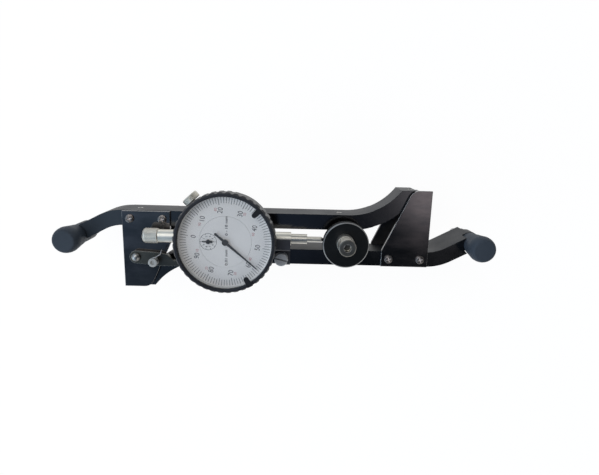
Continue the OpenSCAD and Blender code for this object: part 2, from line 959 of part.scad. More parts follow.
module counter_gear() {
    color([0.75, 0.62, 0.32])
        translate([counter_x, axis_y, 0]) {
            translate([0, 0, plate_low + 0.1])
                cylinder(r = arbor_r, h = scale_top + 0.9 - plate_low - 0.1, $fn = 36);
            gear(rack_teeth, 0, axis_z - 1, axis_z + 1);
            gear(big_teeth, 0, counter_low, counter_low + 0.8);
        }
}

module centre_arbor() {
    color([0.75, 0.62, 0.32])
        at_dial() {
            translate([0, 0, plate_low + 0.1])
                cylinder(r = arbor_r, h = scale_top + 1 - plate_low - 0.1, $fn = 36);
            gear(small_teeth, 0, counter_low - 0.3, take_low + 1.1);
        }
}

module take_up_gear() {
    color([0.75, 0.62, 0.32])
        translate([take_x, take_y, 0]) {
            translate([0, 0, plate_low + 0.1])
                cylinder(r = arbor_r, h = wall_low + 0.6 - plate_low - 0.1, $fn = 36);
            gear(big_teeth, take_angle + 180 + 180 / big_teeth, take_low, take_low + 0.8);
        }
}

// flat spiral, fixed to a post on the works plate at its outer end
hair_turns = 4;
hair_in = arbor_r + 0.35;
hair_step = 1;

module hairspring() {
    color([0.45, 0.5, 0.6])
        translate([take_x, take_y, plate_top]) {
            translate([0, 0, 0.6])
                linear_extrude(0.7)
                    polygon(concat(
                        [for (k = [0 : 24 * hair_turns]) let (r = hair_in + hair_step * k / 24)
                            [(r + 0.2) * cos(15 * k), (r + 0.2) * sin(15 * k)]],
                        [for (k = [24 * hair_turns : -1 : 0]) let (r = hair_in + hair_step * k / 24)
                            [r * cos(15 * k), r * sin(15 * k)]]));
            translate([hair_in + hair_step * hair_turns + 0.6, 0, 0])
                cylinder(r = 0.5, h = 1.3, $fn = 36);
        }
}

module bezel() {
    color([0.06, 0.06, 0.07])
        at_dial()
            difference() {
                rotate_extrude($fn = 180)
                    polygon([[case_r + run_gap, bezel_back], [bezel_r - 1.6, bezel_back],
                        [bezel_r, bezel_back + 4], [bezel_r, bezel_front - 1.2],
                        [bezel_r - 0.9, bezel_front], [lip_r + 0.6, bezel_front],
                        [lip_r, bezel_front - 0.6], [lip_r, crystal_top], [seat_r, crystal_top],
                        [seat_r, case_front + 0.6], [case_r + run_gap, case_front + 0.6]]);
                for (k = [0 : bezel_notches - 1])
                    rotate([0, 0, 360 * k / bezel_notches])
                        translate([bezel_r + 1, 0, bezel_back - 1])
                            cylinder(r = 1.6, h = bezel_front - bezel_back + 2, $fn = 24);
            }
}

module scale_carrier() {
    color([0.5, 0.5, 0.5])
        at_dial()
            ring(seat_r, seat_r - 2.2, case_front + 0.6, scale_z);
}

module scale_ring() {
    color([0.85, 0.86, 0.86])
        at_dial()
            ring(seat_r, centre_r + 2 * run_gap, scale_z, scale_top);
}

module crystal_spacer() {
    color([0.1, 0.1, 0.1])
        at_dial()
            ring(seat_r, seat_r - 0.4, scale_top, crystal_low);
}

module crystal() {
    color([0.9, 0.95, 1, 0.3])
        at_dial()
            translate([0, 0, crystal_low])
                cylinder(r = seat_r, h = crystal_top - crystal_low, $fn = 144);
}

module centre_plate() {
    color([0.85, 0.86, 0.86])
        at_dial()
            difference() {
                union() {
                    translate([0, 0, scale_z])
                        cylinder(r = centre_r, h = scale_top - scale_z, $fn = 120);
                    for (p = [[7, 7], [7, -7], [-4, 9], [-4, -9]])
                        translate([p[0], p[1], wall_top])
                            cylinder(r = 1, h = scale_z - wall_top, $fn = 36);
                }
                for (x = [-gear_far, 0])
                    translate([x, 0, scale_z - 1])
                        cylinder(r = arbor_r + 0.3, h = 3, $fn = 36);
            }
}

hand_low = scale_top + 1;

module pointer() {
    color([0.04, 0.04, 0.05])
        at_dial()
            rotate([0, 0, pointer_angle])
                translate([0, 0, hand_low])
                    difference() {
                        union() {
                            cylinder(r = 1.8, h = 0.9, $fn = 48);
                            linear_extrude(0.35)
                                polygon([[-7.2, 0.8], [-7.8, 0.5], [-8, 0], [-7.8, -0.5],
                                    [-7.2, -0.8], [-6, -0.55], [0, -0.75], [23.2, -0.3],
                                    [24.2, 0], [23.2, 0.3], [0, 0.75], [-6, 0.55]]);
                        }
                        translate([0, 0, -1])
                            cylinder(r = 0.01 + arbor_r, h = 1, $fn = 36);
                    }
}

module turn_pointer() {
    color([0.04, 0.04, 0.05])
        translate([counter_x, axis_y, scale_top + 0.3])
            difference() {
                union() {
                    cylinder(r = 1.3, h = 0.5, $fn = 36);
                    linear_extrude(0.3)
                        polygon([[2.6, 0.75], [2.3, 0], [2.6, -0.75], [0, -0.5], [-3.6, -0.2],
                            [-3.6, 0.2], [0, 0.5]]);
                }
                translate([0, 0, -1])
                    cylinder(r = arbor_r, h = 2, $fn = 36);
            }
}

// a clip over the bezel's lip, pointing in over the crystal
module marker(turn) {
    at_dial()
        rotate([0, 0, turn])
            translate([0, 0, bezel_front + 0.05])
                linear_extrude(0.7)
                    polygon(concat([for (a = [90 : 22.5 : 270])
                        [bezel_r - 5.4 + 1.5 * cos(a), 1.5 * sin(a)]],
                        [[bezel_r - 0.6, -1.8], [bezel_r - 0.6, 1.8]]));
}

module high_marker() {
    color([0.05, 0.05, 0.06])
        marker(44.8);
}

module low_marker() {
    color([0.05, 0.05, 0.06])
        marker(-58.5);
}

module bezel_clamp_screw() {
    color([0.75, 0.75, 0.76])
        at_dial()
            rotate([0, 0, clamp_turn])
                translate([0, 0, clamp_axis_z])
                    rotate([0, 90, 0])
                        rotate_extrude($fn = 48)
                            polygon([[0, case_r - 0.8], [1.5, case_r - 0.8], [1.5, case_r + 3.2],
                                [4.7, case_r + 3.2], [5.1, case_r + 3.6], [5.1, case_r + 6.6],
                                [4.7, case_r + 7], [0, case_r + 7]]);
}

echo(lever_spring_gap = wire_gap(lever_path, lever_wire_r, 5));
echo(return_spring_gap = wire_gap(return_path, return_wire_r, 5));

lower_bar();
upper_bar();
left_grip();
right_grip();
left_point();
right_point();
left_front_cover();
left_rear_cover();
right_front_cover();
right_rear_cover();
left_cover_screws();
right_cover_screws();
left_leaf_spring();
right_leaf_spring();
upper_leaf_clamps();
lower_leaf_clamps();
upper_clamp_screws();
lower_clamp_screws();
upper_set_screws();
lower_set_screws();
stop_spacer();
stop_disc();
stop_collar();
stop_screw();
stem_clamp();
stem_clamp_screw();
lock_lever();
lever_washer();
lever_pivot_screw();
lever_stud();
lever_spring();
lock_pin();
dial_case();
back_cover();
back_cover_screws();
stem();
plunger();
contact_point();
rear_tube();
dust_cap();
return_spring();
works_plate();
counter_gear();
centre_arbor();
take_up_gear();
hairspring();
bezel();
scale_carrier();
scale_ring();
crystal_spacer();
crystal();
centre_plate();
pointer();
turn_pointer();
high_marker();
low_marker();
bezel_clamp_screw();
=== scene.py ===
import math

import bpy
from mathutils import Euler, Matrix, Vector


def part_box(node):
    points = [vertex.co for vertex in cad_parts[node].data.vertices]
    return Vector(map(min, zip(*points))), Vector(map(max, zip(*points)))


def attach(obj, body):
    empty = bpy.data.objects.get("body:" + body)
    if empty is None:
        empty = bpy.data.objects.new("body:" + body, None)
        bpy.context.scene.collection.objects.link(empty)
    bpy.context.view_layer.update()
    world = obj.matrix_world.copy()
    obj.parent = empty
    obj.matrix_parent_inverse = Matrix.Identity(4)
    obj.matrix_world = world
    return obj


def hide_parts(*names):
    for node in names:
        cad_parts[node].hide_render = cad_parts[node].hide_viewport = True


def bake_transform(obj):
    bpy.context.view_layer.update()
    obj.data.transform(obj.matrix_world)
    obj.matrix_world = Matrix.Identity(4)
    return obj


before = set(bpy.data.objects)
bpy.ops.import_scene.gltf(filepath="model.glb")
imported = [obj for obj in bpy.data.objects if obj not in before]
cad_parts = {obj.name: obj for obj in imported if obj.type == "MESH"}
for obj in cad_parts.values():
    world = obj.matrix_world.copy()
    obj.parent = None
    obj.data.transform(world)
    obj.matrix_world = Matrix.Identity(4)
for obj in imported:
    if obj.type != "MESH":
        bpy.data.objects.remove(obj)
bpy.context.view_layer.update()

MM = 0.001
X, Y, Z = range(3)
RIGHT, UP, FRONT = Vector((1, 0, 0)), Vector((0, 1, 0)), Vector((0, 0, 1))
BLACK, WHITE = (0.0, 0.0, 0.0), (1.0, 1.0, 1.0)


# Places and objects

def middle(node):
    low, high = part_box(node)
    return (low + high) / 2


def own(node, spot):
    """A point of the scene in a node's own axes."""
    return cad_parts[node].matrix_world.inverted() @ spot


def ray(angle):
    """The way that points out at an angle, flat like the dial."""
    return Vector((math.cos(angle), math.sin(angle), 0))


def placed(name, data):
    made = bpy.data.objects.new(name, data)
    bpy.context.scene.collection.objects.link(made)
    return made


# Shader maths

class Flow:
    """What flows out of a node, so that shader maths reads as an expression."""

    def __init__(self, nodes, socket):
        self.nodes, self.socket = nodes, socket

    def maths(self, operation, first, second=0.0):
        return self.nodes.node("ShaderNodeMath", {"operation": operation}, {0: first, 1: second})

    def __add__(self, other):
        return self.maths("ADD", self, other)

    def __sub__(self, other):
        return self.maths("SUBTRACT", self, other)

    def __rsub__(self, other):
        return self.maths("SUBTRACT", other, self)

    def __mul__(self, other):
        return self.maths("MULTIPLY", self, other)

    def __abs__(self):
        return self.maths("ABSOLUTE", self)

    def above(self, other):
        return self.maths("GREATER_THAN", self, other)

    def most(self, other):
        return self.maths("MAXIMUM", self, other)

    def least(self, other):
        return self.maths("MINIMUM", self, other)

    def sine(self):
        return self.maths("SINE", self)

    def angle(self, other):
        return self.maths("ARCTAN2", self, other)

    __radd__ = __add__
    __rmul__ = __mul__


class Nodes:
    """A node tree with the one method that adds a node, and short forms of it."""

    MIX_FIRST, MIX_SECOND, MIX_OUT = 6, 7, 2  # the colour sockets of a Mix node

    def __init__(self, tree):
        self.tree = tree

    def node(self, kind, settings=None, sockets=None, out=0):
        made = self.tree.nodes.new(kind)
        for key, value in (settings or {}).items():
            if key == "stops":
                self.set_stops(made.color_ramp, value)
            else:
                setattr(made, key, value)
        for key, value in (sockets or {}).items():
            self.feed(made.inputs[key], value)
        return Flow(self, made.outputs[out])

    def set_stops(self, ramp, stops):
        ramp.interpolation = "EASE"
        while len(ramp.elements) < len(stops):
            ramp.elements.new(0.5)
        for element, (place, colour) in zip(ramp.elements, stops):
            element.position = place
            element.color = (*colour, 1.0)

    def feed(self, socket, value):
        """Link a flow to a socket, or set the socket to a value."""
        if isinstance(value, Flow):
            self.tree.links.new(value.socket, socket)
        else:
            socket.default_value = (*value, 1.0) if socket.type == "RGBA" else value

    def axis(self, vector, k):
        return self.node("ShaderNodeSeparateXYZ", None, {0: vector}, out=k)

    def dot(self, first, second):
        return self.node("ShaderNodeVectorMath", {"operation": "DOT_PRODUCT"},
                         {0: first, 1: second}, out="Value")

    def ramp(self, value, stops):
        return self.node("ShaderNodeValToRGB", {"stops": stops}, {0: value})

    def range(self, value, low, high, to_low=0.0, to_high=1.0):
        return self.node("ShaderNodeMapRange", {"clamp": True}, {
            "Value": value, "From Min": low, "From Max": high, "To Min": to_low, "To Max": to_high})

    def mix(self, factor, first, second, kind="MIX"):
        return self.node("ShaderNodeMix", {"data_type": "RGBA", "blend_type": kind},
                         {"Factor": factor, self.MIX_FIRST: first, self.MIX_SECOND: second},
                         out=self.MIX_OUT)


class Finish(Nodes):
    """A Principled material with its nodes."""

    def __init__(self, name, **values):
        self.material = bpy.data.materials.new(name)
        self.material.use_nodes = True
        super().__init__(self.material.node_tree)
        self.shader = self.tree.nodes["Principled BSDF"]
        for key, value in values.items():
            self.set(key.replace("_", " ").title().replace("Ior", "IOR"), value)

    def set(self, key, value):
        self.feed(self.shader.inputs[key], value)

    def place(self):
        return self.node("ShaderNodeTexCoord", out="Object")

    def normal(self):
        return self.node("ShaderNodeNewGeometry", out="Normal")

    def stretched(self, scale):
        return self.node("ShaderNodeMapping", None, {"Vector": self.place(), "Scale": scale})

    def noise(self, scale, detail=3.0, roughness=0.55, vector=None):
        return self.node("ShaderNodeTexNoise", None, {
            "Vector": vector or self.place(), "Scale": scale, "Detail": detail,
            "Roughness": roughness})

    def rounded(self, radius):
        return self.node("ShaderNodeBevel", {"samples": 6}, {"Radius": radius})

    def edges(self, radius, low, high):
        """1 along sharp edges, 0 on flat faces."""
        return self.range(1 - self.dot(self.rounded(radius), self.normal()), low, high)

    def bump(self, height, strength, distance, normal=None):
        sockets = {"Height": height, "Strength": strength, "Distance": distance}
        if normal:
            sockets["Normal"] = normal
        self.set("Normal", self.node("ShaderNodeBump", None, sockets))


# Dyed and blackened metal

GRAIN_DEEP = 0.03 * MM
THIN_EDGE = 0.12 * MM


def dyed(f, rough, edge):
    """A dyed surface: where it is cloudy, where it is rubbed, how dull it is, and its grain."""
    cloud = f.noise(scale=55.0, detail=5.0)
    grain = f.noise(scale=5200.0, detail=2.0)
    patch = f.range(cloud, 0.35, 0.68)
    rub = f.edges(edge, 0.02, 0.30) * f.range(f.noise(scale=700.0), 0.35, 0.62, to_low=0.35)
    dull = f.range(cloud + grain * 0.5, 0.5, 1.0, rough - 0.05, rough + 0.08)
    return patch, rub, dull, grain


def anodised(name, dark, light, worn, rough, edge=THIN_EDGE, sheen=0.35):
    """Dyed metal: cloudy colour, fine grain, edges rubbed to the worn colour."""
    f = Finish(name, specular_ior_level=sheen)
    patch, rub, dull, grain = dyed(f, rough, edge)
    f.set("Base Color", f.mix(rub, f.mix(patch, dark, light), worn))
    f.set("Roughness", dull)
    f.bump(grain, strength=0.12, distance=GRAIN_DEEP, normal=f.rounded(edge * 1.6))
    return f.material


def ground_black(name, dark, light, painted_arm_sheen, face, streak, worn, rough, shine):
    """Blackened steel bars, matt on their edges and on the left arm, whose flat faces take a paler
    slate colour as painted sheen.

    Their front and back faces are ground to a dark mirror, from the left cover's edge on.
    """
    fade, edge_round, streak_share, mirror_metal = 2 * MM, 0.19 * MM, 0.16, 0.985
    f = Finish(name, specular_ior_level=0.26)
    patch, rub, dull, grain = dyed(f, rough, THIN_EDGE)
    facing = f.dot(f.node("ShaderNodeTexCoord", out="Normal"), FRONT)
    flat = f.range(facing * facing, 0.75, 0.95)
    cover_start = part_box("left_front_cover")[0].x
    outside = f.range(f.axis(f.place(), X), cover_start, cover_start + fade, 1.0, 0.0)
    mirror = flat * (1 - outside)
    # painted sheen: left of the left cover the flat faces take a paler colour that stands in for
    # the sheen they catch on that side
    tone = f.mix(flat * outside, f.mix(patch, dark, light), painted_arm_sheen)
    tone = f.mix(mirror * mirror * mirror, tone, f.mix(patch * streak_share, face, streak))
    f.set("Base Color", f.mix(rub, tone, worn))
    f.set("Metallic", mirror * (1 - rub) * mirror_metal)
    f.set("Roughness", dull - mirror * (rough - shine))
    f.bump(grain, strength=0.08, distance=GRAIN_DEEP, normal=f.rounded(edge_round))
    return f.material


def gloss_black(name, dark, light, painted_highlight, rough, edge, shine=0.0, bevel=False, sheen=0.5):
    """Polished black plate with a painted highlight along its edges, and wiped smears.

    shine makes it a mirror. bevel puts the painted highlight on its slanting faces too, and makes
    its sides dull.
    """
    side_below, face_above, side_dull, edge_metal = 0.3, 0.7, 0.5, 0.55
    f = Finish(name, specular_ior_level=sheen)
    smear = f.noise(38.0, detail=4.0, roughness=0.6, vector=f.stretched((1.0, 2.6, 1.0)))
    scratch = f.noise(900.0, detail=1.0, roughness=0.5, vector=f.stretched((0.25, 1.0, 1.0)))
    # painted highlight: the edges, and with bevel the slanting faces, take a pale colour that
    # stands in for the light they catch
    highlight_mask = f.edges(edge, 0.10, 0.26)
    dull = f.range(smear + scratch * 0.4, 0.45, 0.95, rough, rough + 0.10)
    if bevel:
        facing = f.axis(f.normal(), Z)
        facing = facing * facing
        highlight_mask = highlight_mask.most(facing.above(side_below) * (1 - facing.above(face_above)))
        dull = dull + (1 - facing.above(side_below)) * side_dull
    f.set("Base Color", f.mix(highlight_mask, f.mix(f.range(smear, 0.38, 0.66), dark, light), painted_highlight))
    f.set("Metallic", shine + highlight_mask * (edge_metal - shine))
    f.set("Roughness", dull)
    f.bump(smear, strength=0.02, distance=0.1 * MM, normal=f.rounded(edge))
    return f.material


# Bare metal

EVEN, TURNED_X, TURNED_Z = (1.0, 1.0, 1.0), (1.0, 0.12, 0.12), (0.12, 0.12, 1.0)


def bare_metal(f, colour, shade, rough, lines=EVEN, edge=0.1 * MM):
    """Tool marks, even or drawn out into lines round an axis, and tarnish in patches."""
    tool = f.noise(4200.0, detail=2.0, roughness=0.5, vector=f.stretched(lines))
    patch = f.noise(scale=160.0)
    tone = f.mix(f.range(patch + tool * 0.3, 0.45, 0.85), shade, colour)
    f.set("Base Color", tone)
    f.set("Roughness", f.range(tool + patch * 0.5, 0.5, 1.0, rough - 0.03, rough + 0.05))
    f.bump(tool, strength=0.02, distance=0.004 * MM, normal=f.rounded(edge))
    return tone


def metal(name, colour, shade, rough, lines=EVEN):
    f = Finish(name, metallic=1.0)
    bare_metal(f, colour, shade, rough, lines)
    return f.material


def tipped(name, node, depth, tip, colour, shade, rough):
    """Bare metal whose front end, depth long, is dark."""
    f = Finish(name, metallic=1.0)
    tone = bare_metal(f, colour, shade, rough)
    top = own(node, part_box(node)[1]).z
    f.set("Base Color", f.mix(f.axis(f.place(), Z).above(top - depth), tone, tip))
    return f.material


def cross_head(name, node, depth, colour, shade, rough):
    """Bare metal screws whose domes are darkened as painted shade where they face the front, with
    bright rims, and a pale, dull cross recess as a painted highlight.

    The recess is the flat faces that lie deeper than depth under the heads.
    """
    flat_above, painted_recess_highlight, painted_dome_shade = 0.97, 2.3, 0.66
    f = Finish(name, metallic=1.0)
    tone = bare_metal(f, colour, shade, rough)
    low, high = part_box(node)
    rise = abs(f.axis(f.place(), Z) - own(node, middle(node)).z)
    facing = abs(f.axis(f.normal(), Z))
    recess = facing.above(flat_above) * (1 - rise.above((high.z - low.z) / 2 - depth))
    # painted shade: the dome darkens where its face turns to the front; the recess below gets a
    # pale, non-metal colour as a painted highlight
    shaded_dome = f.mix(f.range(facing, 0.62, 0.86, to_high=painted_dome_shade), tone, BLACK)
    f.set("Base Color", f.mix(recess, shaded_dome, tuple(painted_recess_highlight * c for c in shade)))
    f.set("Metallic", 1 - recess)
    return f.material


def knurled(name, node, count, pitch, band, colour, shade, rough, turn=0.0, upright=False,
            face=1.0, socket=0.0):
    """Bare metal rolled with a diamond knurl about a node's axis, outside the radius band.

    The axis lies along X, turned about Z, or is upright. Inside the band the metal is face times
    as pale, a painted shade on the end, and a socket of the given radius is dark, a painted shade
    in the hole. The knurl's grooves are darkened as painted shade too.
    """
    edge, groove_shade_share, painted_socket_shade, socket_rim = 0.15 * MM, 0.35, 0.88, 1.2
    f = Finish(name, metallic=1.0)
    tone = bare_metal(f, colour, shade, rough, edge=edge)
    local = f.node("ShaderNodeVectorMath", {"operation": "SUBTRACT"},
                   {0: f.place(), 1: own(node, middle(node))})
    local = f.node("ShaderNodeVectorRotate", {"rotation_type": "Z_AXIS"},
                   {"Vector": local, "Angle": -turn})
    along, across, rise = (f.axis(local, k) for k in ((Z, X, Y) if upright else (X, Y, Z)))
    angle = rise.angle(across) * float(count)
    slope = along * (2 * math.pi / pitch)
    out = across * across + rise * rise
    rim = out.above(band ** 2)
    cut = (angle + slope).sine() * (angle - slope).sine() * rim
    # painted shade: the end inside the band is darkened by face, and the socket hole almost black
    end = f.mix(1.0 - face, tone, BLACK)
    if socket:
        end = f.mix(out.above((socket_rim * socket) ** 2), tone, end)
        end = f.mix(out.above(socket ** 2), f.mix(painted_socket_shade, tone, BLACK), end)
    # painted shade in the knurl's grooves
    painted_groove_shade = tuple(groove_shade_share * c for c in shade)
    f.set("Base Color", f.mix(f.range(cut, -0.9, 0.15, 1.0, 0.0), f.mix(rim, end, tone), painted_groove_shade))
    f.bump(cut, strength=0.5, distance=0.16 * MM, normal=f.rounded(edge))
    return f.material


# Enamel, ink and crystal

def enamel(name, colour, shade, rough):
    """Sprayed enamel with a very slight orange peel."""
    f = Finish(name)
    drift = f.noise(scale=60.0, detail=4.0)
    f.set("Base Color", f.mix(f.range(drift, 0.35, 0.65), shade, colour))
    f.set("Roughness", f.range(drift, 0.3, 0.7, rough - 0.05, rough + 0.05))
    f.bump(f.noise(scale=2600.0, detail=2.0), strength=0.05, distance=0.02 * MM)
    return f.material


def print_ink(name, colour, shade):
    f = Finish(name)
    f.set("Base Color", f.mix(f.range(f.noise(scale=900.0), 0.35, 0.7), colour, shade))
    f.set("Roughness", f.range(f.noise(scale=500.0), 0.3, 0.7, 0.5, 0.65))
    return f.material


def clear_crystal(name, colour, clear, hazy):
    f = Finish(name, base_color=colour, roughness=0.04, specular_ior_level=0.5)
    f.set("Alpha", f.range(f.noise(scale=45.0), 0.3, 0.7, clear, hazy))
    return f.material


# The finish of every node

CUT_BRASS = {"colour": (0.72, 0.53, 0.24), "shade": (0.60, 0.44, 0.20), "rough": 0.30}

BAR = ground_black("blackened_bars", dark=(0.0066, 0.0096, 0.0150), light=(0.0100, 0.0136, 0.0202),
                   painted_arm_sheen=(0.039, 0.052, 0.069), face=(0.078, 0.078, 0.081),
                   streak=(0.16, 0.16, 0.16), worn=(0.080, 0.088, 0.10), rough=0.46, shine=0.14)
CLAMP = anodised("black_anodised_clamp", dark=(0.041, 0.043, 0.054), light=(0.056, 0.058, 0.071),
                 worn=(0.09, 0.09, 0.10), rough=0.42)
GRIP = anodised("slate_grips", dark=(0.042, 0.055, 0.073), light=(0.054, 0.068, 0.088),
                worn=(0.09, 0.10, 0.115), rough=0.58, edge=0.35 * MM, sheen=0.25)
STUD = anodised("worn_stud", dark=(0.40, 0.40, 0.39), light=(0.55, 0.55, 0.53),
                worn=(0.80, 0.80, 0.78), rough=0.34, edge=0.25 * MM, sheen=0.8)
DARK_STEEL = anodised("blackened_steel", dark=(0.030, 0.030, 0.031), light=(0.050, 0.050, 0.050),
                      worn=(0.30, 0.29, 0.28), rough=0.34, sheen=0.6)
WORN_STEEL = anodised("worn_clamp_screw", dark=(0.48, 0.485, 0.495), light=(0.66, 0.665, 0.675),
                      worn=(0.42, 0.42, 0.42), rough=0.34, edge=0.2 * MM, sheen=0.8)
CASE = anodised("black_dial_case", dark=(0.0125, 0.0140, 0.0185), light=(0.0200, 0.0215, 0.0275),
                worn=(0.05, 0.052, 0.06), rough=0.40, sheen=0.45)
COVER = gloss_black("polished_black_covers", dark=(0.085, 0.083, 0.086),
                    light=(0.155, 0.140, 0.140), painted_highlight=(0.74, 0.73, 0.72), rough=0.06,
                    edge=0.45 * MM, shine=0.98)
# painted light: the rear covers are a paler, less mirror-like copy of the covers' finish, lifted
# where they lie in shade
COVER_BACK = gloss_black("dull_black_covers_painted_paler", dark=(0.13, 0.128, 0.133), light=(0.19, 0.18, 0.18),
                         painted_highlight=(0.46, 0.45, 0.44), rough=0.20, edge=0.22 * MM, shine=0.70)
LEVER = gloss_black("oiled_lever", dark=(0.078, 0.077, 0.068), light=(0.106, 0.103, 0.088),
                    painted_highlight=(0.66, 0.65, 0.62), rough=0.30, edge=0.5 * MM, shine=0.96)
STOP = gloss_black("blued_stop", dark=(0.0052, 0.0064, 0.0071), light=(0.0080, 0.0093, 0.0100),
                   painted_highlight=(0.32, 0.32, 0.315), rough=0.33, edge=0.25 * MM, bevel=True, sheen=0.25)
NICKEL = metal("bright_nickel", (0.80, 0.78, 0.71), (0.70, 0.68, 0.61), rough=0.40, lines=TURNED_X)
ROD = metal("ground_rod", (0.66, 0.64, 0.585), (0.58, 0.56, 0.505), rough=0.30, lines=TURNED_X)
COLLAR = metal("plain_collar", (0.76, 0.74, 0.69), (0.64, 0.62, 0.57), rough=0.36, lines=TURNED_Z)
POINT = metal("hardened_points", (0.62, 0.62, 0.62), (0.46, 0.46, 0.47), rough=0.26, lines=TURNED_Z)
SCREW = metal("bright_screws", (0.70, 0.69, 0.66), (0.52, 0.51, 0.48), rough=0.28)
PIVOT = metal("turned_pivot", (0.46, 0.46, 0.45), (0.34, 0.34, 0.33), rough=0.30)
SPRING = metal("spring_steel", (0.50, 0.50, 0.50), (0.36, 0.36, 0.38), rough=0.30)
BLUED = metal("blued_hairspring", (0.16, 0.20, 0.36), (0.10, 0.12, 0.24), rough=0.28)
BRASS = metal("cut_brass", **CUT_BRASS)
ARBOR = tipped("black_tipped_brass", "counter_gear", 1.0 * MM, (0.02, 0.02, 0.022), **CUT_BRASS)
CROSS = cross_head("cross_head_screws", "left_cover_screws", 0.6 * MM, (0.62, 0.59, 0.57),
                   (0.42, 0.38, 0.36), rough=0.34)
CAP = knurled("knurled_cap", "dust_cap", count=24, pitch=1.2 * MM, band=4.3 * MM,
              colour=(0.82, 0.80, 0.73), shade=(0.68, 0.66, 0.59), rough=0.30)
THUMB = knurled("knurled_thumb_screw", "bezel_clamp_screw", count=24, pitch=1.1 * MM,
                band=4.8 * MM, colour=(0.78, 0.76, 0.69), shade=(0.60, 0.58, 0.51), rough=0.28,
                turn=math.radians(133.0))
SOCKET = knurled("knurled_socket_screw", "stop_screw", count=26, pitch=1.1 * MM, band=4.9 * MM,
                 colour=(0.74, 0.72, 0.66), shade=(0.58, 0.56, 0.50), rough=0.36, upright=True,
                 face=0.27, socket=2.0 * MM)
FACE = enamel("white_dial_face", (0.89, 0.868, 0.845), (0.86, 0.838, 0.815), rough=0.5)
RIM = enamel("pale_spacer", (0.80, 0.80, 0.775), (0.74, 0.74, 0.715), rough=0.4)
HAND = enamel("black_pointer", (0.006, 0.006, 0.008), (0.012, 0.012, 0.014), rough=0.4)
CRYSTAL = clear_crystal("clear_crystal", (0.92, 0.93, 0.97), clear=0.025, hazy=0.04)
INK = print_ink("black_print", (0.020, 0.020, 0.026), (0.050, 0.050, 0.058))
RED_INK = print_ink("red_print", (0.48, 0.15, 0.16), (0.58, 0.25, 0.26))

FINISHES = {
    BAR: "lower_bar upper_bar",
    CLAMP: "stem_clamp",
    GRIP: "left_grip right_grip",
    COVER: "left_front_cover right_front_cover",
    COVER_BACK: "left_rear_cover right_rear_cover",
    LEVER: "lock_lever",
    STOP: "stop_disc",
    NICKEL: "stem rear_tube",
    PIVOT: "lever_pivot_screw",
    STUD: "lever_stud lever_washer",
    COLLAR: "stop_collar",
    CAP: "dust_cap",
    THUMB: "bezel_clamp_screw",
    ROD: "plunger contact_point",
    CROSS: "left_cover_screws right_cover_screws",
    SCREW: "upper_clamp_screws lower_clamp_screws upper_set_screws lower_set_screws"
           " back_cover_screws",
    SOCKET: "stop_screw",
    POINT: "left_point right_point",
    SPRING: "left_leaf_spring right_leaf_spring lever_spring return_spring",
    BLUED: "hairspring",
    BRASS: "works_plate centre_arbor take_up_gear",
    ARBOR: "counter_gear",
    WORN_STEEL: "stem_clamp_screw",
    DARK_STEEL: "lock_pin upper_leaf_clamps lower_leaf_clamps stop_spacer",
    CASE: "dial_case back_cover bezel",
    RIM: "crystal_spacer",
    FACE: "scale_ring scale_carrier centre_plate",
    CRYSTAL: "crystal",
    HAND: "pointer turn_pointer high_marker low_marker",
}
for finish, names in FINISHES.items():
    for name in names.split():
        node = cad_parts[name]
        node.data.materials.clear()
        node.data.materials.append(finish)


# Making pieces

def piece(name, points, faces, finish, body, slot, smooth=False):
    mesh = bpy.data.meshes.new(name)
    mesh.from_pydata([tuple(p) for p in points], [], faces)
    mesh.validate()
    mesh.materials.append(finish)
    if smooth:
        mesh.shade_smooth()
    made = placed(name, mesh)
    if body:
        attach(made, body)
    return made


def sleeve(rings, sides):
    """Faces between rings of points that follow each other, closed at both ends."""
    faces = []
    for k in range(rings - 1):
        for n in range(sides):
            a, b = k * sides + n, k * sides + (n + 1) % sides
            faces.append([a, b, b + sides, a + sides])
    faces.append(list(range(sides))[::-1])
    faces.append(list(range((rings - 1) * sides, rings * sides)))
    return faces


def wire(path, radius, sides=10):
    """Points and faces of round wire along a path."""
    points = []
    side = None
    for k, spot in enumerate(path):
        way = (path[min(k + 1, len(path) - 1)] - path[max(k - 1, 0)]).normalized()
        side = (side - way * side.dot(way)).normalized() if side else way.orthogonal().normalized()
        lift = way.cross(side)
        for n in range(sides):
            a = 2 * math.pi * n / sides
            points.append(spot + (side * math.cos(a) + lift * math.sin(a)) * radius)
    return points, sleeve(len(path), sides)


def strip(path, wide_ways, half_wide, thick_ways, half_thick):
    """Points and faces of a flat strip along a path, with its two ways at each point."""
    points = []
    for spot, wide_way, thick_way in zip(path, wide_ways, thick_ways):
        w, t = wide_way * half_wide, thick_way * half_thick
        points += [spot - w - t, spot + w - t, spot + w + t, spot - w + t]
    return points, sleeve(len(path), 4)


# Leaf springs between the bars' clamps, where they bend in use, made here as straight strips

LEAF_STEPS = 48
LEAF_HOLDS = {"left_leaf_spring": (-21.5 * MM, 7.0 * MM),
              "right_leaf_spring": (-7.0 * MM, 21.5 * MM)}

for name, (low_hold, high_hold) in LEAF_HOLDS.items():
    low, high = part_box(name)
    spot = middle(name)
    path = [Vector((spot.x, low.y + (high.y - low.y) * k / LEAF_STEPS, spot.z))
            for k in range(LEAF_STEPS + 1)]
    points, faces = strip(path, [FRONT] * len(path), (high.z - low.z) / 2,
                          [RIGHT] * len(path), (high.x - low.x) / 2)
    leaf = piece(name + "_strip", points, faces, SPRING, None, "spring_steel")
    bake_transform(leaf)
    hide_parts(name)


# Return spring, in line behind the plunger

RETURN_WIRE = 0.25 * MM
RETURN_TURNS = 9
COIL_STEPS = 24

